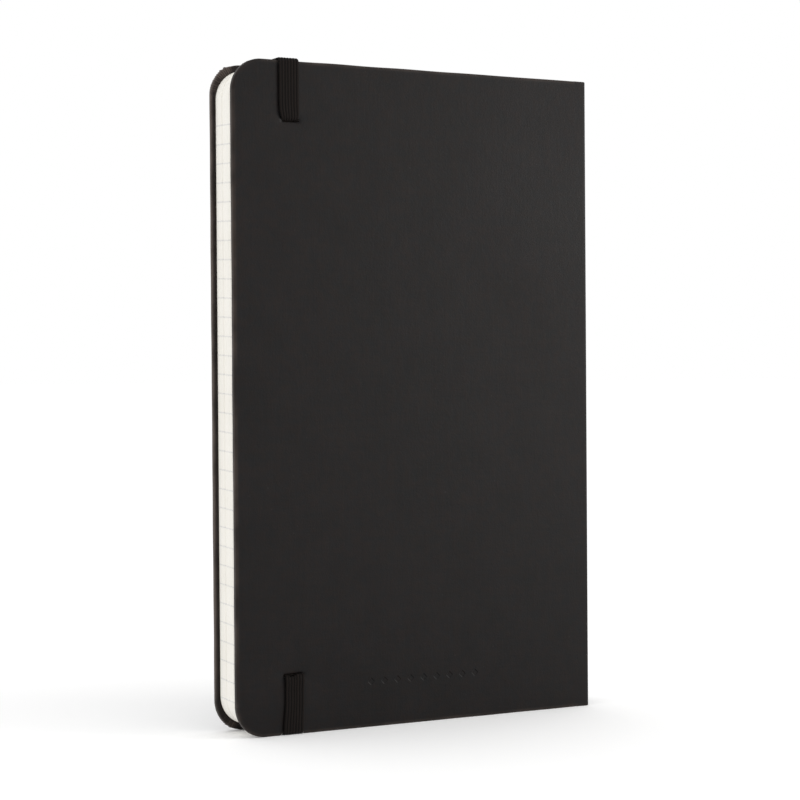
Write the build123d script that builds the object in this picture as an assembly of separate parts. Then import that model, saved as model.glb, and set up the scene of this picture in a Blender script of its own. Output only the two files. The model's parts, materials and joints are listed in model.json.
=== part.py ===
from build123d import *
import os

# A hard-cover notebook, closed and standing upright on its tail edge. Millimetres.
# +Z runs from tail to head, the front cover faces -Y, the back cover faces +Y,
# the spine is at -X and the fore-edge at +X. The origin is the middle of the base.

# Driving dimensions
COVER_WIDTH = 130.0
COVER_HEIGHT = 210.0
THICKNESS = 18.0
CORNER_RADIUS = 10.0
SKIN = 0.35  # covering material, on the outside and as the turn-in
BOARD = 1.6
EDGE_RADIUS = 0.55
FIT = 0.02  # between pieces that are glued or lie against each other
TURN_IN_WIDTH = 14.0

HINGE_INSET = 4.5  # from the spine's outer face to the line where a cover folds
HINGE_OFFSET = 0.05  # the fold line lies this far outside the cover's face
HINGE_SLIT = 0.1

SPINE_STRIP = 1.2
SPINE_LINING = 0.2
HOLLOW = 1.95  # room behind the folds, for the sections to fan out

PASTEDOWN = 0.15
PASTEDOWN_MARGIN = 3.0
FLYLEAF = 0.15
FLYLEAF_GLUE = 3.8  # strip of each flyleaf that is glued to its section
PAPER_GAP = 0.03

SECTION_COUNT = 15
FORE_EDGE_SQUARE = 1.3
HEAD_SQUARE = 2.0
PAGE_CORNER_RADIUS = 9.5

THREAD_DIAMETER = 0.3
STITCH_LENGTH = 27.0
STITCH_CENTRES = (36.0, 82.0, 128.0, 174.0)

BAND_WIDTH = 7.0
BAND_THICKNESS = 0.9
BAND_INSET = 19.0  # from the fore-edge to the middle of the band
BAND_CORNER = 1.4
BAND_DENT_CLEARANCE = 0.05
SLOT_INSET = 18.5  # from the head and tail edges to the slots
SLOT_WIDTH = 7.6
SLOT_HEIGHT = 1.0
BAND_END_LENGTH = 14.0
BAND_END_THICKNESS = 0.6

POCKET_PANEL = 0.35
POCKET_MOUTH_X = -48.0
POCKET_FOLD_X = 59.0
POCKET_MARGIN = 5.0
GUSSET_DEPTH = 12.0
GUSSET_CLOTH = 0.1
GUSSET_SPACE = 0.24

MARK_COUNT = 9
MARK_PITCH = 4.8
MARK_SIZE = 2.6
MARK_DEPTH = 0.12
MARK_HEIGHT = 14.5
MARK_X = -1.0

# Derived places
fore_edge = COVER_WIDTH / 2
spine_face = -COVER_WIDTH / 2
half = THICKNESS / 2
cover = SKIN + BOARD + SKIN
hinge_x = spine_face + HINGE_INSET
cover_x = hinge_x + HINGE_SLIT
strip_inner = spine_face + SKIN + SPINE_STRIP
fold_x = strip_inner + SPINE_LINING + HOLLOW
page_edge = fore_edge - FORE_EDGE_SQUARE
page_tail = HEAD_SQUARE
page_head = COVER_HEIGHT - HEAD_SQUARE
cover_inside = half - cover  # |y| of the covers' inner faces
band_x = fore_edge - BAND_INSET
slot_heights = (SLOT_INSET, COVER_HEIGHT - SLOT_INSET)

flyleaf_front = -(cover_inside - PASTEDOWN - PAPER_GAP)
panel_inner = cover_inside - PASTEDOWN - GUSSET_SPACE - POCKET_PANEL
flyleaf_back = panel_inner - PAPER_GAP
block_front = flyleaf_front + FLYLEAF + PAPER_GAP
block_back = flyleaf_back - FLYLEAF - PAPER_GAP
section_pitch = (block_back - block_front) / SECTION_COUNT
section_thickness = section_pitch - FIT

parts = {}


def block(x, y, z):
    """A box between two limits on each axis."""
    size = [high - low for low, high in (x, y, z)]
    centre = [(high + low) / 2 for low, high in (x, y, z)]
    return Pos(*centre) * Box(*size)


def leaf_shape(x, y, z, radius):
    """A flat plate whose two fore-edge corners are rounded."""
    plate = block(x, y, z)
    corners = plate.edges().filter_by(Axis.Y).sort_by(Axis.X)[-2:]
    return fillet(corners, radius)


def mirrored(side, near, far):
    """The two |y| limits of a piece, put on the front (-1) or the back (+1) side."""
    return sorted((side * near, side * far))


def band_crossing():
    """The space that the elastic crosses under the tail edge of both covers."""
    width = BAND_WIDTH / 2 + BAND_DENT_CLEARANCE
    depth = BAND_THICKNESS + BAND_DENT_CLEARANCE
    return block((band_x - width, band_x + width), (-half - 1, half + 1), (-1, depth))


def slot_cuts():
    """Two slots through the back cover, level with the ends of the elastic."""
    cuts = []
    width = (band_x - SLOT_WIDTH / 2, band_x + SLOT_WIDTH / 2)
    for height in slot_heights:
        span = (height - SLOT_HEIGHT / 2, height + SLOT_HEIGHT / 2)
        cuts.append(block(width, (cover_inside - 1, half + 1), span))
    return cuts


def cover_skin(side):
    """Covering material round one board: outer face, edges and three turned-in margins."""
    across = mirrored(side, cover_inside, half)
    outer = leaf_shape((cover_x, fore_edge), across, (0, COVER_HEIGHT), CORNER_RADIUS)
    level = [e for e in outer.edges() if e.bounding_box().size.Y < 1e-6]
    rims = [e for e in level if e.bounding_box().max.X > cover_x + 1]
    outer = fillet(rims, EDGE_RADIUS)
    room = leaf_shape(
        (cover_x - 1, fore_edge - SKIN),
        mirrored(side, cover_inside + SKIN, half - SKIN),
        (SKIN, COVER_HEIGHT - SKIN),
        CORNER_RADIUS - SKIN,
    )
    window = block(
        (cover_x - 1, fore_edge - TURN_IN_WIDTH),
        mirrored(side, cover_inside - 1, cover_inside + SKIN),
        (TURN_IN_WIDTH, COVER_HEIGHT - TURN_IN_WIDTH),
    )
    return outer - room - window - band_crossing()


def board(side):
    """The stiff board inside a cover."""
    shape = leaf_shape(
        (cover_x, fore_edge - SKIN - FIT),
        mirrored(side, cover_inside + SKIN + FIT, half - SKIN - FIT),
        (SKIN + FIT, COVER_HEIGHT - SKIN - FIT),
        CORNER_RADIUS - SKIN - FIT,
    )
    return shape - band_crossing()


def pastedown(side):
    """Endpaper glued inside a cover, with the infill that levels it with the turn-ins."""
    sheet = leaf_shape(
        (hinge_x + 0.4, fore_edge - PASTEDOWN_MARGIN),
        mirrored(side, cover_inside - PASTEDOWN, cover_inside),
        (PASTEDOWN_MARGIN, COVER_HEIGHT - PASTEDOWN_MARGIN),
        CORNER_RADIUS - PASTEDOWN_MARGIN,
    )
    infill = block(
        (hinge_x + 0.4, fore_edge - TURN_IN_WIDTH - FIT),
        mirrored(side, cover_inside, cover_inside + SKIN),
        (TURN_IN_WIDTH + FIT, COVER_HEIGHT - TURN_IN_WIDTH - FIT),
    )
    return sheet + infill


def debossed_mark():
    """A plain row of lozenges pressed into the back cover near its tail edge."""
    marks = []
    for i in range(MARK_COUNT):
        x = MARK_X + (i - (MARK_COUNT - 1) / 2) * MARK_PITCH
        lozenge = Rot(0, 45, 0) * Box(MARK_SIZE / 2**0.5, 2 * MARK_DEPTH, MARK_SIZE / 2**0.5)
        marks.append(Pos(x, half, MARK_HEIGHT) * lozenge)
    return marks


def band_end(height):
    """One end of the elastic: through its slot, then flat in a recess of the board."""
    inward = 1 if height < COVER_HEIGHT / 2 else -1
    recess_face = cover_inside + SKIN
    thick = BAND_THICKNESS / 2
    through = block(
        (band_x - BAND_WIDTH / 2, band_x + BAND_WIDTH / 2),
        (recess_face, half - FIT),
        (height - thick, height + thick),
    )
    span = sorted((height, height + inward * BAND_END_LENGTH))
    flat = block(
        (band_x - BAND_WIDTH / 2, band_x + BAND_WIDTH / 2),
        (recess_face, recess_face + BAND_END_THICKNESS),
        span,
    )
    return through + flat


def band_end_recess(height):
    """Room in the board for one glued end of the elastic."""
    inward = 1 if height < COVER_HEIGHT / 2 else -1
    span = sorted((height - inward * BAND_THICKNESS, height + inward * (BAND_END_LENGTH + 0.3)))
    width = SLOT_WIDTH / 2
    face = cover_inside + SKIN
    return block((band_x - width, band_x + width), (face - 1, face + BAND_END_THICKNESS + FIT), span)


def elastic_band():
    """The loop of elastic outside the covers, open between its two slots."""
    x = (band_x - BAND_WIDTH / 2, band_x + BAND_WIDTH / 2)
    reach = half + BAND_THICKNESS
    outer = block(x, (-reach, reach), (0, COVER_HEIGHT + BAND_THICKNESS))
    outer = fillet(outer.edges().filter_by(Axis.X), BAND_CORNER)
    inner = block(x, (-half - FIT, half + FIT), (BAND_THICKNESS, COVER_HEIGHT + FIT))
    inner = fillet(inner.edges().filter_by(Axis.X).sort_by(Axis.Z)[-2:], BAND_CORNER - BAND_THICKNESS)
    low, high = slot_heights
    between = block(
        (x[0] - 1, x[1] + 1),
        (half - 1, reach + 1),
        (low + BAND_THICKNESS / 2, high - BAND_THICKNESS / 2),
    )
    return outer - inner - between


def section(index):
    """Eight leaves folded and sewn as one: a thin block with a round folded back."""
    y0 = block_front + index * section_pitch + FIT / 2
    y1 = y0 + section_thickness
    radius = section_thickness / 2
    leaves = leaf_shape((fold_x + radius, page_edge), (y0, y1), (page_tail, page_head), PAGE_CORNER_RADIUS)
    fold = Pos(fold_x + radius, (y0 + y1) / 2, COVER_HEIGHT / 2) * Cylinder(radius, page_head - page_tail)
    return leaves + fold


def section_thread(index):
    """The stitches of sewing thread that lie along the back of one section."""
    y = block_front + (index + 0.5) * section_pitch
    x = fold_x - THREAD_DIAMETER / 2 - FIT
    return Compound(
        [Pos(x, y, z) * Cylinder(THREAD_DIAMETER / 2, STITCH_LENGTH) for z in STITCH_CENTRES]
    )


def flyleaf(y):
    """A free endpaper, from the line where it hinges on its section."""
    return leaf_shape(
        (fold_x + FLYLEAF_GLUE, page_edge), (y, y + FLYLEAF), (page_tail, page_head), PAGE_CORNER_RADIUS
    )


def pocket_gusset(inward, edge):
    """Cloth bellows at one end of the pocket, folded flat behind the panel."""
    depth = edge + inward * GUSSET_DEPTH
    back = cover_inside - PASTEDOWN - FIT
    x = (POCKET_MOUTH_X + 2, POCKET_FOLD_X - 2)
    outer_ply = block(x, (back - GUSSET_CLOTH, back), sorted((edge, depth)))
    inner_ply = block(x, (back - 2 * GUSSET_CLOTH, back - GUSSET_CLOTH), sorted((edge, depth)))
    return outer_ply + inner_ply


# Spine: covering material, card strip and lining
channel = block((spine_face, hinge_x - HINGE_SLIT), (-half, half), (0, COVER_HEIGHT))
channel = fillet(
    [e for e in channel.edges().filter_by(Axis.Z) if e.center().X < spine_face + 0.1], EDGE_RADIUS
)
channel_room = block((spine_face + SKIN, hinge_x), (-half + SKIN, half - SKIN), (-1, COVER_HEIGHT + 1))
parts["spine_skin"] = channel - channel_room
parts["spine_strip"] = block(
    (spine_face + SKIN + FIT, strip_inner),
    (-half + SKIN + FIT, half - SKIN - FIT),
    (SKIN, COVER_HEIGHT - SKIN),
)
lining = block((strip_inner, hinge_x - 0.3), (-half + SKIN + FIT, half - SKIN - FIT), (1, COVER_HEIGHT - 1))
lining_room = block(
    (strip_inner + SPINE_LINING, hinge_x),
    (-half + SKIN + SPINE_LINING, half - SKIN - SPINE_LINING),
    (0, COVER_HEIGHT),
)
parts["spine_lining"] = lining - lining_room

# Covers
parts["front_cover_skin"] = cover_skin(-1)
parts["front_board"] = board(-1)
parts["front_pastedown"] = pastedown(-1)

back_skin = cover_skin(1)
back_board = board(1)
for cut in slot_cuts():
    back_skin -= cut
    back_board -= cut
for mark in debossed_mark():
    back_skin -= mark
for height in slot_heights:
    back_board -= band_end_recess(height)
parts["back_cover_skin"] = back_skin
parts["back_board"] = back_board
parts["back_pastedown"] = pastedown(1)
parts["elastic_band_ends"] = Compound([band_end(height) for height in slot_heights])
parts["elastic_band"] = elastic_band()

# Pocket inside the back cover
parts["pocket_panel"] = leaf_shape(
    (POCKET_MOUTH_X, POCKET_FOLD_X),
    (panel_inner, panel_inner + POCKET_PANEL),
    (POCKET_MARGIN, COVER_HEIGHT - POCKET_MARGIN),
    CORNER_RADIUS - POCKET_MARGIN,
)
parts["pocket_gusset_tail"] = pocket_gusset(1, POCKET_MARGIN + 1)
parts["pocket_gusset_head"] = pocket_gusset(-1, COVER_HEIGHT - POCKET_MARGIN - 1)

# Text block
parts["front_flyleaf"] = flyleaf(flyleaf_front)
parts["back_flyleaf"] = flyleaf(flyleaf_back - FLYLEAF)
for i in range(SECTION_COUNT):
    parts[f"section_{i + 1:02d}"] = section(i)
    parts[f"section_thread_{i + 1:02d}"] = section_thread(i)

os.makedirs("parts", exist_ok=True)
for name, shape in parts.items():
    export_step(shape, f"parts/{name}.step")
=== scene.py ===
import json
import math
import random

import bmesh
import bpy
import numpy as np
from mathutils import Matrix, Vector
from mathutils.geometry import delaunay_2d_cdt


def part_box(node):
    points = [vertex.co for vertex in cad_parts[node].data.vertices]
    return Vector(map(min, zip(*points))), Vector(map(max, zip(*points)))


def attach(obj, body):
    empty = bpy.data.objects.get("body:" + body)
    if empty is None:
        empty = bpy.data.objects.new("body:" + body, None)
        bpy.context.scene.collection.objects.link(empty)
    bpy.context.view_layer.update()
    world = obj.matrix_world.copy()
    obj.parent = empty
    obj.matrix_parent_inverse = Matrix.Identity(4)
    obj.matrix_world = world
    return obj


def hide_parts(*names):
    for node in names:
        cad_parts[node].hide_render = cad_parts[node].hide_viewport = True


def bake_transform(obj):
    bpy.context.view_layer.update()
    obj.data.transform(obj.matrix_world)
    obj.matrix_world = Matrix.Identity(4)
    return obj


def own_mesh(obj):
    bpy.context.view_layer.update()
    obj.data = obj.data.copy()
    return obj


# A closed hard-cover notebook standing on its tail edge, seen from the back cover's fore-edge side.
# Lengths in this file are metres unless a name ends in _MM; MM turns millimetres into metres.

MM = 0.001
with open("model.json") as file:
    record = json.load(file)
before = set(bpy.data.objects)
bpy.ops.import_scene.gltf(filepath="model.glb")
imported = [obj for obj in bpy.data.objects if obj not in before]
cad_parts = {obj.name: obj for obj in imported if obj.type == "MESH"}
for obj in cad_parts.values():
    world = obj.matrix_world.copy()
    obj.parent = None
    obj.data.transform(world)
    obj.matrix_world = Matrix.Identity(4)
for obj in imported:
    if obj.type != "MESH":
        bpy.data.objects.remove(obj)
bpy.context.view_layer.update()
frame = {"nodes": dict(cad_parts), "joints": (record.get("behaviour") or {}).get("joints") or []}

# ---------------------------------------------------------------- sizes read from the frame
back_low, back_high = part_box("back_cover_skin")
spine_low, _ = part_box("spine_skin")
band_low, band_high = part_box("elastic_band")
ends_low, ends_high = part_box("elastic_band_ends")
paste_low, paste_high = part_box("back_pastedown")
joint_at = {j["name"]: Vector(j["pos_m"]) for j in frame["joints"]}

HEIGHT = back_high.z
HALF = back_high.y
COVER = back_high.y - back_low.y
SPINE_X = spine_low.x
FORE_X = back_high.x
HINGE_X = joint_at["back_cover_hinge"].x
BAND_X = (band_low.x + band_high.x) / 2
BAND_WIDTH = band_high.x - band_low.x
BAND_THICK = band_high.y - HALF
SLOTS = (ends_low.z + BAND_THICK / 2, ends_high.z - BAND_THICK / 2)

# Sizes of the detail, in millimetres
CORNER_RADIUS_MM = 10.0
SPINE_EDGE_MM = 0.8
PAPER_MM = 0.1  # thickness of the joint papers
SKIN_MM = 0.35
WOBBLE_MM = 0.05
FOLD_MM = 0.74  # thickness of the covering where it is folded over at the joint
SPINE_FOLD_MM = 1.9
RIM_OUTER_MM = 0.7
RIM_INNER_MM = 0.6
FACE_INSET_MM = 3.0
TURN_IN_MM = 9.0
PLEATS = 20
PLEAT_RIM_MM = 0.55
PLEAT_FACE_MM = 0.12
BACK_PLEATS = 0.15  # how strongly the pleats of a cover's corners show
FRONT_HEAD_PLEATS = 1.0
FRONT_TAIL_PLEATS = 0.5
RIBS = 7
FRONT_WEAR_AND_HIGHLIGHT = 2.8  # how much more the front cover's rims and turned-in margin are painted paler than the back cover's: wear, a painted highlight on the rims and painted light on the shaded margin
HEAD_SHARE = 0.77  # width of the elastic where it is gathered into the head slot
HEAD_SHIFT_MM = -0.8  # and how far that narrow end lies toward the spine
TAIL_SHARE = 0.93
TAIL_SHIFT_MM = -0.5
TAIL_DENT_MM = 0.06  # how much deeper than its own thickness the elastic sinks into the tail edges
HEAD_DENT_MM = 0.12
SLOT_PLAY_MM = 0.3
SLOT_HALF_HEIGHT_MM = 0.42
BAND_CORNER_MM = 1.0  # radius of the elastic's middle line where it turns over an edge
GATHER_MM = 5.0  # length over which the elastic changes its shape toward a slot
DIVE_MM = 1.3  # how deep below the cover's face the loop ends in its slots
HOOK_MM = 1.2  # height of its turn into a slot
HEAD_PUFF_MM = 0.12  # how far it stands off the cover beside a slot
TAIL_PUFF_MM = 0.2
RIPPLE_MM = 0.42  # waviness of its gathered tail end
FINE_RIPPLE_MM = 0.14
SWELL_MM = 0.25
YARN_RADIUS_MM = 0.13
MARK_COUNT = 9
MARK_PITCH_MM = 4.8
MARK_SIZE_MM = 2.6
MARK_DEPTH_MM = 0.16
MARK_FROM_TAIL_MM = 14.5
MARK_X_MM = -1.0
LEAVES = 8  # of one section
SECTION_PRESS_MM = 0.012  # how much of the gap between two sections their leaves fill
LEAF_SHARE = 0.98  # of the room for one leaf that its paper takes
TRIM_MM = (-0.03, 0.01)  # how far a sheet's cut edge may stand out
CLOTH_MM = 0.04  # thickness of the pocket's bellows
PAGE_CORNER_MM = 9.5
RULE_PITCH_MM = 5.97
RULE_COUNT = 31
RULE_TOP_MM = 20.0  # from the head edge of the cover to the first line
RULE_DRIFT_MM = 1.1  # how far the lines of one leaf may stand from those of the next
RULE_LEAN = 0.05  # rise of the lines from leaf to leaf, from the back cover to the front one


# ---------------------------------------------------------------- mesh helpers
def new_object(name, verts, faces, smooth=True):
    """A mesh object from plain lists of points and faces."""
    mesh = bpy.data.meshes.new(name)
    mesh.from_pydata([tuple(v) for v in verts], [], [tuple(f) for f in faces])
    mesh.validate()
    mesh.update()
    obj = bpy.data.objects.new(name, mesh)
    bpy.context.scene.collection.objects.link(obj)
    if smooth:
        mesh.shade_smooth()
    return obj


def grid_faces(rows, cols, first=0, closed=False):
    """Quads over a grid of points numbered row by row. closed joins the last column to the first."""
    faces = []
    for r in range(rows - 1):
        for c in range(cols if closed else cols - 1):
            d = (c + 1) % cols
            a = first + r * cols
            faces.append((a + c, a + d, a + cols + d, a + cols + c))
    return faces


def turn_outward(obj):
    """Points every face of a closed mesh outward."""
    bm = bmesh.new()
    bm.from_mesh(obj.data)
    bmesh.ops.recalc_face_normals(bm, faces=bm.faces)
    bm.to_mesh(obj.data)
    bm.free()


def bake_modifiers(obj):
    """Puts an object's modifiers into its mesh."""
    bpy.context.view_layer.update()
    graph = bpy.context.evaluated_depsgraph_get()
    mesh = bpy.data.meshes.new_from_object(obj.evaluated_get(graph))
    obj.modifiers.clear()
    obj.data = mesh


def thicken(obj, thickness, offset=-1.0):
    """Gives a sheet its real thickness, as a closed shell."""
    solid = obj.modifiers.new("thickness", "SOLIDIFY")
    solid.thickness = thickness
    solid.offset = offset
    solid.use_even_offset = True
    bake_modifiers(obj)


def smoothstep(low, high, value):
    """0 below low, 1 above high, and an S curve between."""
    t = min(max((value - low) / (high - low), 0.0), 1.0)
    return t * t * (3 - 2 * t)


# ---------------------------------------------------------------- materials
class Nodes:
    """Short calls for building a node tree."""

    def __init__(self, name):
        self.material = bpy.data.materials.new(name)
        self.material.use_nodes = True
        self.tree = self.material.node_tree
        self.shader = self.tree.nodes["Principled BSDF"]
        self.coords = self.tree.nodes.new("ShaderNodeTexCoord")

    def link(self, source, target):
        self.tree.links.new(source, target)

    def put(self, socket, value):
        if isinstance(value, bpy.types.NodeSocket):
            self.link(value, socket)
        elif value is not None:
            socket.default_value = value

    def math(self, operation, a, b=None, c=None, clamp=False):
        node = self.tree.nodes.new("ShaderNodeMath")
        node.operation = operation
        node.use_clamp = clamp
        for socket, value in zip(node.inputs, (a, b, c)):
            self.put(socket, value)
        return node.outputs[0]

    def scaled(self, scale, source="Object"):
        """The object's own coordinates, stretched by three numbers."""
        node = self.tree.nodes.new("ShaderNodeMapping")
        node.inputs["Scale"].default_value = scale
        self.link(self.coords.outputs[source], node.inputs["Vector"])
        return node.outputs[0]

    def xyz(self, vector):
        node = self.tree.nodes.new("ShaderNodeSeparateXYZ")
        self.link(vector, node.inputs[0])
        return node.outputs

    def noise(self, vector, scale, detail=4.0, roughness=0.55):
        node = self.tree.nodes.new("ShaderNodeTexNoise")
        self.link(vector, node.inputs["Vector"])
        node.inputs["Scale"].default_value = scale
        node.inputs["Detail"].default_value = detail
        node.inputs["Roughness"].default_value = roughness
        return node.outputs["Fac"]

    def voronoi(self, vector, scale, feature="F1"):
        node = self.tree.nodes.new("ShaderNodeTexVoronoi")
        node.feature = feature
        self.link(vector, node.inputs["Vector"])
        node.inputs["Scale"].default_value = scale
        return node.outputs["Distance"]

    def attribute(self, name):
        node = self.tree.nodes.new("ShaderNodeAttribute")
        node.attribute_name = name
        return node.outputs["Fac"]

    def span(self, value, low, high, to_low=0.0, to_high=1.0):
        """Maps low..high onto to_low..to_high, held at the ends."""
        node = self.tree.nodes.new("ShaderNodeMapRange")
        self.put(node.inputs["Value"], value)
        node.inputs["From Min"].default_value = low
        node.inputs["From Max"].default_value = high
        node.inputs["To Min"].default_value = to_low
        node.inputs["To Max"].default_value = to_high
        return node.outputs[0]

    def mix(self, factor, a, b):
        """A colour between a and b."""
        node = self.tree.nodes.new("ShaderNodeMix")
        node.data_type = "RGBA"
        self.put(node.inputs["Factor"], factor)
        self.put(node.inputs["A"], (*a, 1.0) if isinstance(a, tuple) else a)
        self.put(node.inputs["B"], (*b, 1.0) if isinstance(b, tuple) else b)
        return node.outputs["Result"]

    def bump(self, height, distance, strength=1.0, before=None):
        node = self.tree.nodes.new("ShaderNodeBump")
        node.inputs["Distance"].default_value = distance
        node.inputs["Strength"].default_value = strength
        self.link(height, node.inputs["Height"])
        if before is not None:
            self.link(before, node.inputs["Normal"])
        return node.outputs["Normal"]

    def finish(self, color, roughness, normal=None, specular=0.5, sheen=0.0):
        self.put(self.shader.inputs["Base Color"], color)
        self.put(self.shader.inputs["Roughness"], roughness)
        self.shader.inputs["Specular IOR Level"].default_value = specular
        self.shader.inputs["Sheen Weight"].default_value = sheen
        self.shader.inputs["Sheen Roughness"].default_value = 0.5
        if normal is not None:
            self.link(normal, self.shader.inputs["Normal"])
        return self.material


def cover_material():
    """Matte black coated covering: fine grain, a faint weave and mottle, pale specks, rims painted paler
    for wear and as a painted highlight.
    """
    n = Nodes("covering")
    place = n.coords.outputs["Object"]
    broad = n.noise(place, 16.0, 3.0)
    blotch = n.noise(place, 90.0, 4.0)
    grain = n.noise(place, 2600.0, 3.0, 0.6)
    pores = n.voronoi(place, 1500.0)
    warp = n.noise(n.scaled((1500.0, 1500.0, 130.0)), 1.0, 2.0)
    weft = n.noise(n.scaled((130.0, 1500.0, 1500.0)), 1.0, 2.0)
    weave = n.math("ADD", warp, weft)
    tone = n.math("MULTIPLY", n.math("ADD", broad, blotch), 0.36)
    tone = n.math("ADD", tone, n.math("MULTIPLY", weave, 0.17))
    mottle = n.noise(place, 330.0, 3.0, 0.65)
    warm = n.mix(n.span(tone, 0.32, 0.72), (0.0028, 0.0016, 0.0013), (0.0086, 0.0054, 0.0046))
    cool = n.mix(n.span(tone, 0.32, 0.72), (0.0018, 0.0018, 0.0020), (0.0058, 0.0048, 0.0052))
    base = n.mix(n.span(mottle, 0.38, 0.62), cool, warm)
    specks = n.span(n.noise(place, 900.0, 1.0, 0.4), 0.77, 0.80)
    base = n.mix(n.math("MULTIPLY", specks, 0.25), base, (0.035, 0.032, 0.030))
    # The rims are painted paler and browner: partly wear, partly a painted highlight along the edges.
    wear_and_highlight = n.math("MULTIPLY", n.attribute("rim"), n.span(blotch, 0.35, 0.65, 0.25, 0.9))
    base = n.mix(wear_and_highlight, base, (0.082, 0.063, 0.053))
    rough = n.math("ADD", n.span(broad, 0.3, 0.7, 0.42, 0.52), n.span(grain, 0.3, 0.7, -0.03, 0.05))
    height = n.math("ADD", n.math("MULTIPLY", grain, 0.6), n.math("MULTIPLY", pores, 0.5))
    height = n.math("ADD", height, n.math("MULTIPLY", weave, 0.5))
    height = n.math("ADD", height, n.math("MULTIPLY", mottle, 1.5))
    normal = n.bump(height, 0.000055, 0.5)
    return n.finish(base, rough, normal, specular=0.15)


def ruled(n, strength):
    """Where the ruled lines run, 0 to strength: level lines that drift a little from leaf to leaf."""
    parts = n.xyz(n.coords.outputs["Object"])
    drift = n.noise(n.scaled((0.0, 900.0, 0.0)), 1.0, 2.0, 0.7)
    drift = n.math("MULTIPLY", n.math("SUBTRACT", drift, 0.5), RULE_DRIFT_MM * MM)
    height = n.math("ADD", parts[2], drift)
    height = n.math("ADD", height, n.math("MULTIPLY", parts[1], RULE_LEAN))
    top = HEIGHT - RULE_TOP_MM * MM
    rows = n.math("DIVIDE", n.math("SUBTRACT", top, height), RULE_PITCH_MM * MM)
    away = n.math("ABSOLUTE", n.math("SUBTRACT", n.math("FRACT", n.math("ADD", rows, 0.5)), 0.5))
    line = n.span(away, 0.010, 0.055, 1.0, 0.0)
    first = n.math("GREATER_THAN", rows, -0.3)
    last = n.math("LESS_THAN", rows, RULE_COUNT - 0.7)
    return n.math("MULTIPLY", n.math("MULTIPLY", line, n.math("MULTIPLY", first, last)), strength)


def page_material():
    """Ivory paper: faint fibre, grey ruled lines that run off the edge, painted shade in the seams between
    leaves.
    """
    n = Nodes("pages")
    place = n.coords.outputs["Object"]
    fibre = n.noise(place, 1800.0, 4.0, 0.6)
    cloud = n.noise(place, 45.0, 3.0)
    seam_shade_and_relief = n.noise(n.scaled((1.0, 5200.0, 6.0)), 1.0, 2.0, 0.6)
    paper = n.mix(n.span(cloud, 0.3, 0.7), (0.90, 0.875, 0.815), (0.94, 0.92, 0.87))
    paper = n.mix(n.span(fibre, 0.35, 0.75, 0.0, 0.10), paper, (0.74, 0.70, 0.62))
    # Painted shade: darker lines in the seams between leaves; the same noise also gives them a little
    # relief in the bump.
    paper = n.mix(n.span(seam_shade_and_relief, 0.50, 0.75, 0.0, 0.09), paper, (0.66, 0.62, 0.54))
    edge = n.attribute("edge")
    paper = n.mix(n.math("MULTIPLY", n.math("SUBTRACT", 1.0, edge), 0.75), paper, (0.79, 0.755, 0.675))
    lines = ruled(n, n.span(edge, 0.0, 1.0, 1.0, 0.20))
    paper = n.mix(lines, paper, (0.40, 0.41, 0.43))
    normal = n.bump(n.math("ADD", n.math("MULTIPLY", fibre, 0.5), seam_shade_and_relief), 0.00004, 0.5)
    return n.finish(paper, 0.82, normal, specular=0.2)


def paper_material(name, light, dark, scale=1500.0):
    """Plain heavy paper or card with a soft mottle and fibre."""
    n = Nodes(name)
    place = n.coords.outputs["Object"]
    fibre = n.noise(place, scale, 4.0, 0.6)
    cloud = n.noise(place, 60.0, 3.0)
    flecks = n.span(n.noise(place, scale * 0.5, 2.0), 0.68, 0.76, 0.0, 0.35)
    color = n.mix(n.span(cloud, 0.3, 0.7), dark, light)
    color = n.mix(flecks, color, tuple(0.6 * c for c in dark))
    normal = n.bump(fibre, 0.00005, 0.5)
    rough = n.span(fibre, 0.3, 0.7, 0.72, 0.88)
    return n.finish(color, rough, normal, specular=0.2)


def woven(n, u, v, along, across):
    """Height and fuzz of threads both ways. along and across are threads per metre."""
    place = n.coords.outputs["Object"]
    shift = n.math("MULTIPLY", n.noise(place, 400.0, 3.0), 1.2)
    picks = n.math("SINE", n.math("ADD", n.math("MULTIPLY", u, 2 * math.pi * along), shift))
    ends = n.math("SINE", n.math("ADD", n.math("MULTIPLY", v, 2 * math.pi * across), shift))
    fuzz = n.noise(place, 4200.0, 3.0, 0.7)
    weave = n.math("MULTIPLY", n.math("MULTIPLY", picks, ends), 0.5)
    return n.math("ADD", weave, n.math("MULTIPLY", fuzz, 0.6)), fuzz


def cloth_material(name, base, high, threads, bump):
    """Plain woven cloth or twisted thread, in the plane of a cover."""
    n = Nodes(name)
    x, _, z = n.xyz(n.coords.outputs["Object"])
    height, fuzz = woven(n, x, z, threads, threads)
    color = n.mix(n.span(height, -0.2, 0.85), base, high)
    rough = n.span(fuzz, 0.3, 0.7, 0.78, 0.92)
    return n.finish(color, rough, n.bump(height, bump, 0.8), specular=0.15, sheen=0.04)


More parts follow.
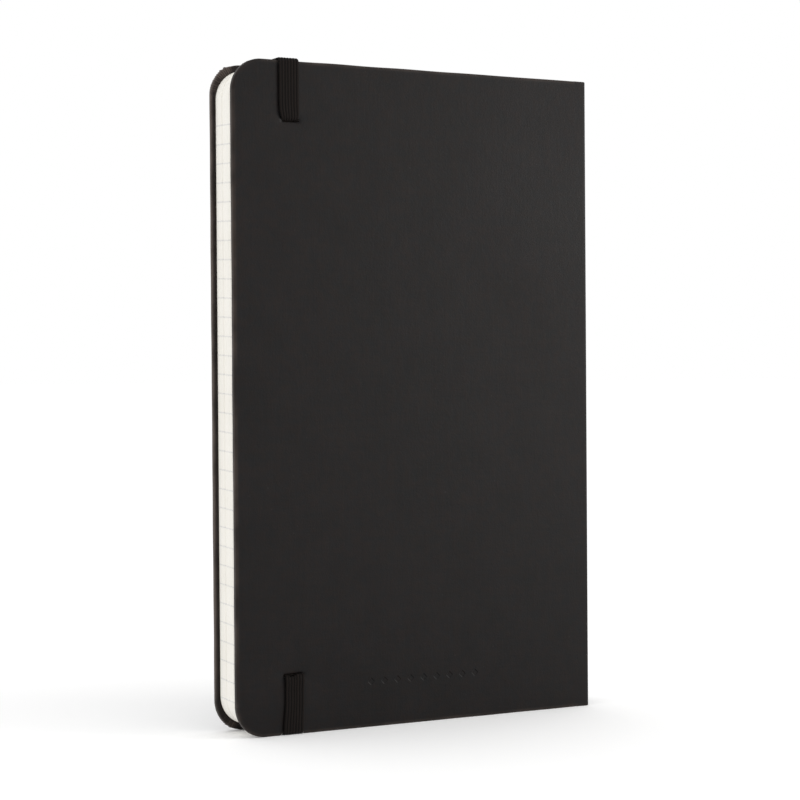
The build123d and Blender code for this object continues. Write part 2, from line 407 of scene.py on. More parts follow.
def elastic_material():
    """Flat woven elastic: painted shade in the furrows between its lengthwise ribs, fine picks across them,
    and painted light in slow streaks along it.
    """
    n = Nodes("elastic")
    u, v, _ = n.xyz(n.coords.outputs["UV"])
    height, fuzz = woven(n, u, v, 1700.0, 2100.0)
    rib = n.math("COSINE", n.math("MULTIPLY", v, 2 * math.pi * RIBS / BAND_WIDTH))
    # The furrows between the ribs are painted dark: painted shade, since they are too shallow to be shaded
    # by the lamps.
    furrow_shade = n.span(rib, -0.95, 0.1, 1.0, 0.0)
    # Slow lighter and darker streaks along the elastic: painted light, standing for its head end catching
    # more light than its tail.
    painted_light_streak = n.noise(n.scaled((600.0, 0.0, 15.0)), 1.0, 2.0)
    tone = n.math("ADD", n.span(height, -0.2, 0.85, 0.0, 0.8), n.span(painted_light_streak, 0.35, 0.65, -0.1, 0.3))
    color = n.mix(tone, (0.0024, 0.0012, 0.0008), (0.0104, 0.0066, 0.0052))
    color = n.mix(n.math("MULTIPLY", furrow_shade, 0.92), color, (0.0008, 0.0007, 0.0006))
    rough = n.span(fuzz, 0.3, 0.7, 0.70, 0.90)
    return n.finish(color, rough, n.bump(height, 0.00009, 0.8), specular=0.13, sheen=0.01)


COVERING = cover_material()
PAGES = page_material()
ENDPAPER = paper_material("endpaper", (0.79, 0.76, 0.68), (0.77, 0.74, 0.66))
BOARD = paper_material("board", (0.34, 0.32, 0.29), (0.24, 0.23, 0.21), 900.0)
LINING = paper_material("lining", (0.05, 0.05, 0.05), (0.03, 0.03, 0.03))
ELASTIC = elastic_material()
BOOKCLOTH = cloth_material("bookcloth", (0.006, 0.006, 0.006), (0.022, 0.021, 0.020), 2400.0, 0.00006)
THREAD = cloth_material("thread", (0.62, 0.60, 0.53), (0.84, 0.82, 0.75), 1800.0, 0.00005)


def dress(obj, material):
    """Gives a piece its material."""
    obj.data.materials.clear()
    obj.data.materials.append(material)
    return obj


# ---------------------------------------------------------------- covers
RC = SPINE_EDGE_MM * MM
FLAT_X = SPINE_X + RC  # where the cover's face starts to turn round the spine's corner
START = -RC * math.pi / 2
END = FORE_X - FLAT_X
JOINT = HINGE_X - FLAT_X
INSET = FACE_INSET_MM * MM


def place_on_cover(side, s, z, h):
    """A point of the wrap: s along the cover from the spine's corner, z up, h out of the face."""
    if s >= 0:
        return (FLAT_X + s, side * (HALF + h), z)
    radius = max(RC + h, 0.02 * MM)
    angle = -s / RC
    return (FLAT_X - radius * math.sin(angle), side * (HALF - RC + radius * math.cos(angle)), z)


def wobble(s, z, seed):
    """A slow, small unevenness of a covered edge."""
    slow = math.sin(31 * s / 0.13 + seed) * math.sin(17 * z / 0.21 + 2.1 * seed)
    return WOBBLE_MM * MM * (slow + 0.4 * math.sin(57 * (s + z) / 0.2))


def tail_stations():
    """Places along the straight tail edge, close together at the joint and under the elastic."""
    near_joint = 1.6 * MM
    near_band = 6 * MM
    band = BAND_X - FLAT_X
    stops = (
        (START, 6),
        (0.0, 5),
        (JOINT - near_joint, 17),
        (JOINT + near_joint, 34),
        (band - near_band, 49),
        (band + near_band, 4),
        (END - CORNER_RADIUS_MM * MM, 0),
    )
    stations = [START]
    for (start, count), (stop, _) in zip(stops, stops[1:]):
        stations += list(np.linspace(start, stop, count)[1:])
    return stations


def cover_outline():
    """A cover's bound edges, tail then fore-edge then head: point, inward normal, corner share or -1."""
    radius = CORNER_RADIUS_MM * MM
    turns = 6 * PLEATS
    path = [((s, 0.0), (0.0, 1.0), -1.0) for s in tail_stations()]
    for i in range(1, turns):
        a = math.pi / 2 * i / turns
        out_s, out_z = math.sin(a), -math.cos(a)
        point = (END - radius + radius * out_s, radius + radius * out_z)
        path.append((point, (-out_s, -out_z), i / turns))
    mirrored = [((s, HEIGHT - z), (ns, -nz), share) for (s, z), (ns, nz), share in reversed(path)]
    fore = [((END, z), (-1.0, 0.0), -1.0) for z in np.linspace(radius, HEIGHT - radius, 60)]
    return path + fore + mirrored


def pleat_wave(share, seed):
    """Folds round a corner, like saw teeth of uneven height. share runs 0..1 along the corner."""
    phase = share * PLEATS % 1.0
    ends = smoothstep(0.20, 0.30, share) * (1 - 0.75 * smoothstep(0.40, 0.65, share))
    ends *= smoothstep(0.0, 0.15, 1 - share)
    tooth = smoothstep(0.0, 0.72, phase) - smoothstep(0.74, 1.0, phase)
    return ends * tooth * (0.72 + 0.28 * math.sin(9.0 * int(share * PLEATS) + seed))


def rim_profile(thick):
    """From the face over the edge to the turned-in margin: inset, height, pleat share, and how much paler
    it is painted for wear and as a painted highlight.
    """
    outer = min(RIM_OUTER_MM * MM, 0.5 * thick)
    inner = min(RIM_INNER_MM * MM, 0.5 * thick)
    points = [(INSET, 0.0, 0.0, 0.0), (1.5 * MM, 0.0, 0.0, 0.0), (1.5 * outer, 0.0, 0.0, 0.05)]
    for i in range(6):
        a = math.pi / 2 * i / 5
        inset = outer * (1 - math.sin(a))
        points.append((inset, -outer * (1 - math.cos(a)), 0.15 + 0.85 * i / 5, 0.25 + 0.1 * i))
    for share in (0.33, 0.67):
        drop = outer + (thick - outer - inner) * share
        points.append((0.0, -drop, 1.0, 0.8 - 0.25 * share))
    for i in range(6):
        a = math.pi / 2 * i / 5
        drop = thick - inner * (1 - math.sin(a))
        points.append((inner * (1 - math.cos(a)), -drop, 1.0, 0.45 - 0.08 * i))
    # The turned-in margin is painted a little paler: painted light on a margin that lies in shade.
    for inset in (1.5, 2.4, 4.0, 6.0, TURN_IN_MM):
        points.append((inset * MM, -thick, max(0.0, 1 - inset / 6.0), 0.15))
    return points


def dent(s, z, inset):
    """How far the elastic presses the covers' edges in: deep at the tail, a trace at the head."""
    across = abs(s + FLAT_X - BAND_X)
    share = 1 - smoothstep(BAND_WIDTH / 2 - 0.1 * MM, BAND_WIDTH / 2 + 0.7 * MM, across)
    depth = BAND_THICK + TAIL_DENT_MM * MM if z < HEIGHT / 2 else HEAD_DENT_MM * MM
    return share * depth * max(0.0, 1 - inset / INSET)


def slot_places():
    """Each slot's height, shift toward the fore-edge and width: the elastic is gathered at the head one."""
    tail = (SLOTS[0], TAIL_SHIFT_MM * MM, TAIL_SHARE * BAND_WIDTH + SLOT_PLAY_MM * MM)
    head = (SLOTS[1], HEAD_SHIFT_MM * MM, HEAD_SHARE * BAND_WIDTH + SLOT_PLAY_MM * MM)
    return tail, head


def slot_loop(centre_s, centre_z, width, grow):
    """A rounded slot outline, grown outward by grow."""
    half_width = width / 2 + grow
    half_height = SLOT_HALF_HEIGHT_MM * MM + grow
    squareness = 0.35
    count = 40
    points = []
    for i in range(count):
        a = 2 * math.pi * i / count
        c, s = math.cos(a), math.sin(a)
        along = half_width * math.copysign(abs(c) ** squareness, c)
        up = half_height * math.copysign(abs(s) ** squareness, s)
        points.append((centre_s + along, centre_z + up))
    return points


def inside(point, loop):
    """Whether a point is inside a closed loop."""
    hit = False
    for (x0, y0), (x1, y1) in zip(loop, loop[1:] + loop[:1]):
        if (y0 > point[1]) != (y1 > point[1]):
            if point[0] < (x1 - x0) * (point[1] - y0) / (y1 - y0) + x0:
                hit = not hit
    return hit


def mark_loop(centre_s, reach):
    """A lozenge with softened points."""
    around = 20
    ring = []
    for k in range(around):
        a = 2 * math.pi * k / around
        r = reach / (abs(math.cos(a)) + abs(math.sin(a))) ** 0.9
        ring.append((centre_s + r * math.cos(a), MARK_FROM_TAIL_MM * MM + r * math.sin(a)))
    return ring


def face_features(side):
    """Loops on the cover's face as (points, height), and the loops that are cut out."""
    loops, holes = [], []
    if side < 0:
        return loops, holes
    for z, shift, width in slot_places():
        for grow, height in ((0.0, -0.45), (0.12, -0.22), (0.4, -0.10), (1.0, -0.035), (2.0, 0.0)):
            loops.append((slot_loop(BAND_X + shift - FLAT_X, z, width, grow * MM), height * MM))
        holes.append(slot_loop(BAND_X + shift - FLAT_X, z, width, 0.0))
    for i in range(MARK_COUNT):
        s = MARK_X_MM * MM - FLAT_X + (i - (MARK_COUNT - 1) / 2) * MARK_PITCH_MM * MM
        for size, height in ((1.10, 0.0), (1.0, 0.0), (0.88, -0.5), (0.76, -1.0), (0.64, -1.0)):
            loop = mark_loop(s, MARK_SIZE_MM * MM / 2 * size)
            loops.append((loop, height * MARK_DEPTH_MM * MM))
    return loops, holes


def wrap_rims(side, outline):
    """The wrap's three bound edges: points, how much paler each one is painted for wear and as a painted
    highlight, and how many lie across the rim.
    """
    seed = 1.3 if side > 0 else 4.2
    verts, rim = [], []
    columns = 0
    for (s, z), (ns, nz), share in outline:
        thick = FOLD_MM * MM + (COVER - FOLD_MM * MM) * smoothstep(JOINT - 0.2 * MM, JOINT + 0.3 * MM, s)
        profile = rim_profile(thick)
        columns = len(profile)
        push = wobble(s, z, seed)
        front_pleats = FRONT_HEAD_PLEATS if z > HEIGHT / 2 else FRONT_TAIL_PLEATS
        wave = 0.0
        if share >= 0:
            wave = pleat_wave(share, seed) * (BACK_PLEATS if side > 0 else front_pleats)
        for inset, drop, pleat, wear_and_highlight in profile:
            d = inset + dent(s, z, inset) + push * max(0.0, 1 - inset / INSET)
            h = drop
            on_rim = drop > -0.95 * thick
            if on_rim:
                d -= wave * pleat * PLEAT_RIM_MM * MM
            else:
                h -= wave * pleat * PLEAT_FACE_MM * MM
            # The pleats' folds are painted paler: a painted highlight on each fold.
            if share >= 0:
                wear_and_highlight = 0.6 * wear_and_highlight + 1.1 * wave * pleat
            # The front cover is painted paler still: wear, a painted highlight, and painted light on its
            # shaded turned-in margin.
            if side < 0:
                wear_and_highlight *= FRONT_WEAR_AND_HIGHLIGHT
            verts.append(place_on_cover(side, s + ns * d if s >= 0 else s, z + nz * d, h))
            rim.append(wear_and_highlight)
    return verts, rim, columns


def flat_face(side, ring, bend_end, levels):
    """The flat of a cover's face, triangulated round its slots and marks: points with heights, faces."""
    border = [p for p in ring if p[0] > bend_end + 0.01 * MM]
    border += [(bend_end, z) for z in reversed(levels)]
    points = list(border)
    height = [0.0] * len(points)
    edges = [(i, (i + 1) % len(border)) for i in range(len(border))]
    loops, holes = face_features(side)
    for loop, level in loops:
        first = len(points)
        points += loop
        height += [level] * len(loop)
        edges += [(first + i, first + (i + 1) % len(loop)) for i in range(len(loop))]
    corner = CORNER_RADIUS_MM * MM
    for s in np.arange(bend_end + 4 * MM, END - 4 * MM, 4.5 * MM):
        for z in np.linspace(6 * MM, HEIGHT - 6 * MM, 45):
            in_corner = s > END - corner and abs(z - HEIGHT / 2) > HEIGHT / 2 - corner
            if not in_corner and not any(inside((s, z), loop) for loop, _ in loops):
                points.append((s, z))
                height.append(0.0)
    result = delaunay_2d_cdt([Vector(p) for p in points], edges, [], 1, 1e-7)
    flat_points, triangles, origin = result[0], result[2], result[3]
    placed = [(p.x, p.y, height[sources[0]] if sources else 0.0) for p, sources in zip(flat_points, origin)]
    kept = []
    for tri in triangles:
        centre = sum((flat_points[i] for i in tri), Vector((0, 0))) / len(tri)
        if not any(inside(centre, loop) for loop in holes):
            kept.append(tri)
    return placed, kept


def finish_wrap(name, verts, faces, rim, merge, facing):
    """A covering's mesh: faces turned outward, real thickness. merge joins points that coincide."""
    obj = new_object(name, verts, faces)
    attribute = obj.data.attributes.new("rim", "FLOAT", "POINT")
    attribute.data.foreach_set("value", np.array(rim, np.float32))
    bm = bmesh.new()
    bm.from_mesh(obj.data)
    if merge:
        bmesh.ops.remove_doubles(bm, verts=bm.verts, dist=2e-6)
    bmesh.ops.recalc_face_normals(bm, faces=bm.faces)
    if sum(facing(f) * f.calc_area() for f in bm.faces) < 0:
        bmesh.ops.reverse_faces(bm, faces=bm.faces)
    bm.to_mesh(obj.data)
    bm.free()
    thicken(obj, SKIN_MM * MM)
    return obj


def cover_wrap(side, name):
    """The covering of one cover, from the spine's corner over the joint and round the board."""
    outline = cover_outline()
    verts, rim, columns = wrap_rims(side, outline)
    faces = grid_faces(len(outline), columns)
    ring = [(s + ns * INSET if s >= 0 else s, z + nz * INSET) for (s, z), (ns, nz), _ in outline]

    # The bends at the spine's corner and at the joint are an even grid
    bend_s = [s for s, _ in ring if s <= JOINT + 1.61 * MM][: len(ring) // 2]
    bend_s = sorted(set(round(s, 9) for s in bend_s))
    levels = list(np.linspace(INSET, HEIGHT - INSET, 90))
    first = len(verts)
    verts += [place_on_cover(side, s, z, 0.0) for s in bend_s for z in levels]
    faces += grid_faces(len(bend_s), len(levels), first)

    placed, triangles = flat_face(side, ring, bend_s[-1], levels)
    first = len(verts)
    verts += [place_on_cover(side, s, z, h) for s, z, h in placed]
    faces += [tuple(first + i for i in tri) for tri in triangles]
    rim += [0.0] * (len(verts) - len(rim))

    def facing(face):
        on_face = face.calc_center_median().y * side > HALF - 0.3 * MM
        return side * face.normal.y if abs(face.normal.y) > 0.99 and on_face else 0.0

    return finish_wrap(name, verts, faces, rim, True, facing)


def spine_wrap():
    """The covering of the spine's flat face, turned in over the strip at head and tail."""
    half_width = HALF - RC
    profile = rim_profile(SPINE_FOLD_MM * MM)
    ys = np.linspace(-half_width, half_width, 15)
    verts, rim = [], []
    for y in ys:
        # The spine's rims are painted paler like the covers': wear and a painted highlight.
        for inset, drop, _, wear_and_highlight in reversed(profile):
            verts.append((SPINE_X - drop, y, HEIGHT - inset))
            rim.append(wear_and_highlight)
        for z in reversed(np.linspace(8 * MM, HEIGHT - 8 * MM, 45)):
            verts.append((SPINE_X, y, z))
            rim.append(0.0)
        for inset, drop, _, wear_and_highlight in profile:
            verts.append((SPINE_X - drop, y, inset + wobble(y, 0.0, 2.0) * max(0.0, 1 - inset / INSET)))
            rim.append(wear_and_highlight)

    def facing(face):
        return -face.normal.x if face.calc_center_median().x < SPINE_X + 0.1 * MM else 0.0

    faces = grid_faces(len(ys), len(verts) // len(ys))
    return finish_wrap("spine_covering", verts, faces, rim, False, facing)


def swept_sheet(name, path, levels, thickness):
    """A sheet that stands on z levels and follows an x, y path."""
    verts = [(x, y, z) for x, y in path for z in levels]
    obj = new_object(name, verts, grid_faces(len(path), len(levels)))
    thicken(obj, thickness, offset=0.0)
    return obj


def spine_stiffener():
    """The strip of board in the spine, with softened edges."""
    low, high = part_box("spine_strip")
    half_width = HALF - SPINE_EDGE_MM * MM - 0.05 * MM
    x0, x1 = low.x + 0.04 * MM, high.x
    soft = 0.15 * MM
    corners = ((x1, half_width), (x0, half_width), (x0, -half_width), (x1, -half_width))
    loop = []
    for quarter, (cx, cy) in enumerate(corners):
        sx = cx - math.copysign(soft, cx - (x0 + x1) / 2)
        sy = cy - math.copysign(soft, cy)
        for i in range(5):
            a = math.pi / 2 * (quarter + i / 4)
            loop.append((sx + soft * math.cos(a), sy + soft * math.sin(a)))
    levels = list(np.linspace(low.z, high.z, 40))
    verts = [(x, y, z) for z in levels for x, y in loop]
    faces = grid_faces(len(levels), len(loop), closed=True)
    faces.append(tuple(reversed(range(len(loop)))))
    faces.append(tuple(range((len(levels) - 1) * len(loop), len(levels) * len(loop))))
    obj = dress(new_object("spine_stiffener", verts, faces, smooth=False), BOARD)
    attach(obj, "spine")
    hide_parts("spine_strip")


def joint_paper(side, body):
    """The endpaper's hinge: from the spine's lining, round the board's end, onto the pastedown."""
    board_low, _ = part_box("back_board")
    clear = 0.07 * MM  # from the paper's middle to what it lies on
    turn = 0.3 * MM  # radius of its two bends
    wall = HALF - 0.62 * MM
    end = board_low.x - clear
    face = paste_low.y - clear
    angles = np.linspace(0.3, 1.5, 4)
    path = [(x, wall) for x in np.linspace(HINGE_X - 1.5 * MM, end - turn, 9)]
    path += [(end - turn * (1 - math.sin(a)), wall - turn * (1 - math.cos(a))) for a in angles]
    path += [(end, y) for y in np.linspace(wall - turn, face + turn, 5)]
    path += [(end + turn * (1 - math.cos(a)), face + turn * (1 - math.sin(a))) for a in angles]
    path += [(x, face) for x in np.linspace(end + turn, end + 2.2 * MM, 4)]
    path = [(x, side * y) for x, y in path]
    levels = np.linspace(paste_low.z + 0.2 * MM, paste_high.z - 0.2 * MM, 40)
    obj = swept_sheet(body + "_joint_paper", path, levels, PAPER_MM * MM)
    dress(obj, ENDPAPER)
    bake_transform(obj)


def build_covers():
    """Both covers' coverings and joint papers are built in place; the spine's covering and stiffener ride
    on the spine.
    """
    for side, body, node in ((1, "back_cover", "back_cover_skin"), (-1, "front_cover", "front_cover_skin")):
        wrap = dress(cover_wrap(side, body + "_covering"), COVERING)
        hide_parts(node)
        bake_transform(wrap)
        joint_paper(side, body)
    spine = dress(spine_wrap(), COVERING)
    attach(spine, "spine")
    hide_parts("spine_skin")
    spine_stiffener()


# ---------------------------------------------------------------- elastic
def band_path():
    """The middle line of the elastic from one slot to the other: y, z, width share, side shift, wave."""
    lift = BAND_THICK / 2
    path = []
    low, high = SLOTS
    out = HALF + lift

    def add(y, z, share=1.0, shift=0.0, wave=0.0):
        path.append((y, z, share, shift, wave))

    def arc(cy, cz, radius, start, end, steps=8):
        for i in range(steps + 1):
            a = math.radians(start + (end - start) * i / steps)
            add(cy + radius * math.cos(a), cz + radius * math.sin(a))

    head_shift = HEAD_SHIFT_MM * MM
    dive = DIVE_MM * MM
    for i in range(9):
        a = math.pi / 2 * i / 8
        y = HALF - dive + (dive + lift) * math.sin(a)
        z = high + 0.05 * MM + HOOK_MM * MM * (1 - math.cos(a))
        t = math.sqrt(1 - (1 - (z - high) / (GATHER_MM * MM)) ** 2)
        add(y, z, HEAD_SHARE + (1 - HEAD_SHARE) * t, head_shift * (1 - t))
    top = HEIGHT + lift
    corner = BAND_CORNER_MM * MM
    for z in np.arange(high + 1.6 * MM, top - corner - 0.3 * MM, 0.45 * MM):
        t = math.sqrt(1 - max(0.0, 1 - (z - high) / (GATHER_MM * MM)) ** 2)
        puff = HEAD_PUFF_MM * MM * math.exp(-(((z - high - 2.5 * MM) / (2 * MM)) ** 2))
        add(out + puff, z, HEAD_SHARE + (1 - HEAD_SHARE) * t, head_shift * (1 - t))
    arc(out - corner, top - corner, corner, 0, 90)
    for y in np.linspace(out - corner - MM, -(out - corner - MM), 18):
        add(y, top)
    arc(-(out - corner), top - corner, corner, 90, 180)
    for z in np.linspace(top - corner - MM, lift + corner + MM, 200):
        add(-out, z)
    arc(-(out - corner), lift + corner, corner, 180, 270)
    for y in np.linspace(-(out - corner - MM), out - corner - MM, 18):
        add(y, lift)
    arc(out - corner, lift + corner, corner, 270, 360)
    tail_shift = TAIL_SHIFT_MM * MM
    for z in np.arange(lift + corner + 0.5 * MM, low - 1.3 * MM, 0.5 * MM):
        t = smoothstep(low - GATHER_MM * MM, low, z)
        puff = TAIL_PUFF_MM * MM * math.exp(-(((z - low + 2.0 * MM) / (1.6 * MM)) ** 2))
        narrow = smoothstep(0.0, 0.6 * low, z)
        add(out + puff, z, 1 - (1 - TAIL_SHARE) * narrow, tail_shift * narrow, t)
    for i in range(9):
        a = math.pi / 2 * (1 - i / 8)
        y = HALF - dive + (dive + lift) * math.sin(a)
        add(y, low - 0.05 * MM - HOOK_MM * MM * (1 - math.sin(a)), TAIL_SHARE, tail_shift, 1.0)
    return path


def band_section():
    """Half-thickness of the ribbed elastic across its width: offset share -1..1, half thickness."""
    steps = 6
    points = []
    for i in range(RIBS * steps + 1):
        u = i / (RIBS * steps)
        phase = u * RIBS % 1.0
        rib = math.sqrt(max(0.0, 1 - (2 * phase - 1) ** 2)) if 0 < i < RIBS * steps else 0.0
        edge = min(1.0, 0.35 + 0.65 * math.sqrt(min(1.0, min(u, 1 - u) * RIBS * 1.6)))
        points.append((2 * u - 1, (0.48 + 0.48 * rib) * edge))
    return points


def strip_mesh(name, path):
    """A ribbed strip along a path of y, z, width share, side shift and wave, with the weave's UVs."""
    section = band_section()
    verts, uvs = [], []
    count = len(path)
    run = 0.0
    for i, (y, z, share, shift, wave) in enumerate(path):
        before, after = path[max(0, i - 1)], path[min(count - 1, i + 1)]
        tangent = Vector((after[0] - before[0], after[1] - before[1])).normalized()
        normal = Vector((tangent.y, -tangent.x))
        if i:
            run += math.hypot(y - before[0], z - before[1])
        ring = [(u, h) for u, h in section] + [(u, -h) for u, h in reversed(section)]
        for u, h in ring:
            x = BAND_X + shift + u * BAND_WIDTH / 2 * share
            lift = h * BAND_THICK / 2
            ripple = RIPPLE_MM * math.sin(2.2 * u + 0.5) + FINE_RIPPLE_MM * math.sin(6 * u)
            ripple *= wave * MM
            swell = wave * SWELL_MM * MM * smoothstep(0.1, 0.9, -u)
            verts.append((x, y + normal.x * lift + swell, z + normal.y * lift - ripple))
            uvs.append((run, u * BAND_WIDTH / 2))
    columns = 2 * len(section)
    faces = grid_faces(count, columns, closed=True)
    faces.append(tuple(range(columns)))
    faces.append(tuple(reversed(range((count - 1) * columns, count * columns))))
    obj = new_object(name, verts, faces)
    layer = obj.data.uv_layers.new(name="UVMap")
    for loop in obj.data.loops:
        layer.data[loop.index].uv = uvs[loop.vertex_index]
    turn_outward(obj)
    return dress(obj, ELASTIC)


def yarn_end():
    """A short loose end of yarn that stands out of the head slot, at the spine's side of the elastic."""
    root = Vector((BAND_X + HEAD_SHIFT_MM * MM - HEAD_SHARE * BAND_WIDTH / 2, HALF, SLOTS[1]))
    steps = 8
    curve = []
    for i in range(steps + 1):
        t = i / steps
        reach = Vector((0.35 - 0.75 * t, 0.1 + 0.5 * math.sin(2.6 * t), 0.1 - 1.1 * t**1.4))
        curve.append(root + reach * MM)
    around = 8
    verts = []
    for i, p in enumerate(curve):
        radius = YARN_RADIUS_MM * MM * (1 - 0.6 * i / steps)
        along = (curve[min(steps, i + 1)] - curve[max(0, i - 1)]).normalized()
        side = along.cross(Vector((0, 1, 0))).normalized()
        other = along.cross(side)
        for k in range(around):
            a = 2 * math.pi * k / around
            verts.append(p + side * radius * math.cos(a) + other * radius * math.sin(a))
    faces = grid_faces(len(curve), around, closed=True)
    faces.append(tuple(range(around)))
    faces.append(tuple(reversed(range(steps * around, (steps + 1) * around))))
    obj = new_object("elastic_yarn_end", verts, faces)
    turn_outward(obj)
    dress(obj, ELASTIC)
    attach(obj, "back_cover")


def band_end(slot, share, shift):
    """The glued end of the elastic, in its slot through the cover."""
    board_low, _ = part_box("back_board")
    return [(y, slot, share, shift, 0.0) for y in np.linspace(HALF - 0.5 * MM, board_low.y, 7)]


def build_elastic():
    """The loop rides on the elastic's body; its glued ends and loose yarn end ride on the back cover."""
    loop = strip_mesh("elastic_loop", band_path())
    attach(loop, "elastic")
    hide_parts("elastic_band")
    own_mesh(loop)
    tail = (SLOTS[0], TAIL_SHARE, TAIL_SHIFT_MM * MM, "tail")
    head = (SLOTS[1], HEAD_SHARE, HEAD_SHIFT_MM * MM, "head")
    for slot, share, shift, place in (tail, head):
        end = strip_mesh("elastic_end_" + place, band_end(slot, share, shift))
        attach(end, "back_cover")
        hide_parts("elastic_band_ends")
    yarn_end()


# ---------------------------------------------------------------- text block
def sheet_path(fore_x, fold_x, y_a, y_b):
    """One folded sheet seen from the head: out along one leaf, round the fold, back along the other."""
    radius = PAGE_CORNER_MM * MM
    corner = [fore_x - radius + radius * math.cos(math.pi / 2 * i / 10) for i in range(11)]
    middle = list(np.linspace(fore_x - radius, fold_x, 6)[1:])
    out = [(x, y_a) for x in corner + middle]
    bend = abs(y_b - y_a) / 2
    centre = (y_a + y_b) / 2
    turn = []
    for i in range(1, 8):
        a = math.pi * i / 8
        turn.append((fold_x - bend * math.sin(a), centre - (y_b - y_a) / 2 * math.cos(a)))
    back = [(x, y_b) for x in reversed(corner + middle)]
    return out + turn + back


def section_leaves(number, rng):
    """Four folded sheets, one inside the other."""
    low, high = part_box(f"section_{number:02d}")
    thick = high.y - low.y + SECTION_PRESS_MM * MM
    pitch = thick / LEAVES
    fold_x = low.x + thick / 2
    radius = PAGE_CORNER_MM * MM
    levels = [0.0, 0.03, 0.35, 0.65, 0.97, 1.0]
    verts, faces = [], []
    for sheet in range(LEAVES // 2):
        y_a = (low.y + high.y - thick) / 2 + (sheet + 0.5) * pitch
        y_b = low.y + high.y - y_a
        trim = rng.uniform(*TRIM_MM) * MM
        path = sheet_path(high.x + trim, fold_x, y_a, y_b)
        first = len(verts)
        for x, y in path:
            over = max(0.0, x - (high.x + trim - radius))
            cut = radius - math.sqrt(max(0.0, radius**2 - over**2))
            for t in levels:
                verts.append((x, y, low.z + cut + t * (high.z - low.z - 2 * cut)))
        faces += grid_faces(len(path), len(levels), first)
    obj = new_object(f"leaves_{number:02d}", verts, faces, smooth=False)
    thicken(obj, LEAF_SHARE * pitch, offset=0.0)
    mark_edges(obj)
    return obj


def mark_edges(obj):
    """Stores which faces are the cut edges of leaves, because the broad faces look different."""
    attribute = obj.data.attributes.new("edge", "FLOAT", "FACE")
    for i, face in enumerate(obj.data.polygons):
        attribute.data[i].value = 0.0 if abs(face.normal.y) > 0.7 else 1.0


def build_text_block():
    """Every section becomes real leaves. The thread and endpapers keep their CAD shapes."""
    rng = random.Random(7)
    sections = sorted(n for n in frame["nodes"] if n.startswith("section_") and "thread" not in n)
    middle = (len(sections) + 1) // 2
    for number in range(1, len(sections) + 1):
        leaves = dress(section_leaves(number, rng), PAGES)
        body = "spine" if number == middle else f"section_{number:02d}"
        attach(leaves, body)
        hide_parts(f"section_{number:02d}")


# ---------------------------------------------------------------- pocket
def gusset(inward, name, node):
    """Cloth bellows: one ply on the pastedown, one on the panel, folded inward between them."""
    low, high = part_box(node)
    edge, depth = (low.z, high.z) if inward > 0 else (high.z, low.z)
    wall, front = high.y, low.y
    verts = []
    xs = np.linspace(low.x, high.x, 24)
    plies = 9
    for x in xs:
        for i in range(plies):
            t = i / (plies - 1)
            z = edge + (depth - edge) * (1 - abs(2 * t - 1))
            verts.append((x, wall + (front - wall) * t, z))
    obj = new_object(name, verts, grid_faces(len(xs), plies))
    thicken(obj, CLOTH_MM * MM, offset=0.0)
    dress(obj, BOOKCLOTH)
    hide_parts(node)
    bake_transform(obj)


def build_pocket():
    gusset(1, "pocket_bellows_tail", "pocket_gusset_tail")
    gusset(-1, "pocket_bellows_head", "pocket_gusset_head")


# ---------------------------------------------------------------- CAD nodes that keep their shape
def dress_cad_nodes():
    """Materials for the nodes whose CAD shape is the real one."""
    plain = {
        "front_pastedown": ENDPAPER,
        "back_pastedown": ENDPAPER,
        "front_flyleaf": ENDPAPER,
        "back_flyleaf": ENDPAPER,
        "pocket_panel": ENDPAPER,
        "front_board": BOARD,
        "back_board": BOARD,
        "spine_lining": LINING,
    }
    for name, obj in frame["nodes"].items():
        material = plain.get(name, THREAD if "thread" in name else None)
        if material is not None:
            obj.data.materials.clear()
            obj.data.materials.append(material)


# ---------------------------------------------------------------- stage, lights and camera
FLOOR_GLOW = 0.085  # lifts the floor to the white of its surroundings


def build_stage():
    """A round pale floor, wide enough to meet the white surroundings at the horizon."""
    radii = [1e-4, 0.15, 0.4, 0.8, 1.5, 3.0, 6.0, 12.0, 25.0]
    around = 96
    verts = []
    for r in radii:
        for k in range(around):
            a = 2 * math.pi * k / around
            verts.append((r * math.cos(a), r * math.sin(a), 0.0))
    floor = new_object("floor", verts, grid_faces(len(radii), around, closed=True))
    n = Nodes("floor")
    paper = n.noise(n.coords.outputs["Object"], 300.0, 3.0)
    color = n.mix(n.span(paper, 0.3, 0.7), (0.93, 0.93, 0.93), (0.95, 0.95, 0.95))
    n.shader.inputs["Emission Color"].default_value = (1.0, 1.0, 1.0, 1.0)
    n.shader.inputs["Emission Strength"].default_value = FLOOR_GLOW
    floor.data.materials.append(n.finish(color, 0.9, specular=0.0))


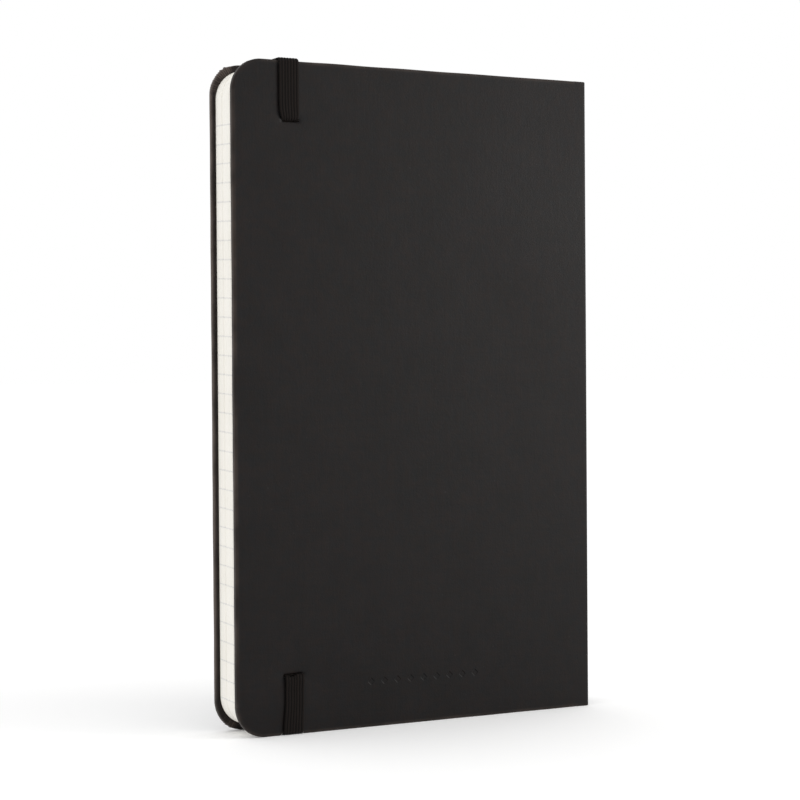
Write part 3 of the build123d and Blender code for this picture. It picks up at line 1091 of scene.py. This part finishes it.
def area_light(name, place, target, size, power, color=(1.0, 1.0, 1.0)):
    """A large soft light that points at a target."""
    data = bpy.data.lights.new(name, "AREA")
    data.shape = "RECTANGLE"
    data.size, data.size_y = size
    data.energy = power
    data.color = color
    light = bpy.data.objects.new(name, data)
    light.location = place
    light.rotation_euler = (Vector(target) - Vector(place)).to_track_quat("-Z", "Y").to_euler()
    bpy.context.scene.collection.objects.link(light)


def build_lights():
    world = bpy.data.worlds.new("studio")
    world.use_nodes = True
    background = world.node_tree.nodes["Background"]
    background.inputs["Color"].default_value = (1.0, 1.0, 1.0, 1.0)
    background.inputs["Strength"].default_value = 1.0
    bpy.context.scene.world = world
    middle = (0.0, 0.0, 0.12)
    area_light("key_softbox", (-0.72, 0.58, 0.30), middle, (0.42, 0.42), 3.45, (1.0, 0.985, 0.96))
    area_light("top_softbox", (0.2, -0.1, 2.2), (0.0, 0.0, 0.0), (1.0, 1.0), 1.5)


CAMERA_AZIMUTH = 151.1
CAMERA_ELEVATION = 0.74
CAMERA_ROLL = 0.40
CAMERA_DISTANCE = 0.6861
CAMERA_LENS = 94.8
AIM_OFFSET = Vector((1.6, -0.9, -1.2)) * MM  # from the middle of the covers


def build_camera():
    a, e = math.radians(CAMERA_AZIMUTH), math.radians(CAMERA_ELEVATION)
    toward = Vector((math.sin(a) * math.cos(e), -math.cos(a) * math.cos(e), math.sin(e)))
    data = bpy.data.cameras.new("camera")
    data.lens = CAMERA_LENS
    data.sensor_width = 36.0
    data.clip_start = 0.01
    camera = bpy.data.objects.new("camera", data)
    bpy.context.scene.collection.objects.link(camera)
    aim = Vector((0, 0, HEIGHT / 2)) + AIM_OFFSET
    right = toward.cross(Vector((0, 0, 1))).normalized() * -1
    up = toward.cross(right).normalized()
    roll = math.radians(CAMERA_ROLL)
    tilted_up = up * math.cos(roll) + right * math.sin(roll)
    tilted_right = right * math.cos(roll) - up * math.sin(roll)
    basis = Matrix((tilted_right, tilted_up, toward)).transposed()
    camera.matrix_world = Matrix.Translation(aim + toward * CAMERA_DISTANCE) @ basis.to_4x4()
    bpy.context.scene.camera = camera


build_covers()
build_elastic()
build_text_block()
build_pocket()
dress_cad_nodes()
build_stage()
build_lights()
build_camera()
bpy.context.scene.view_settings.view_transform = "Standard"
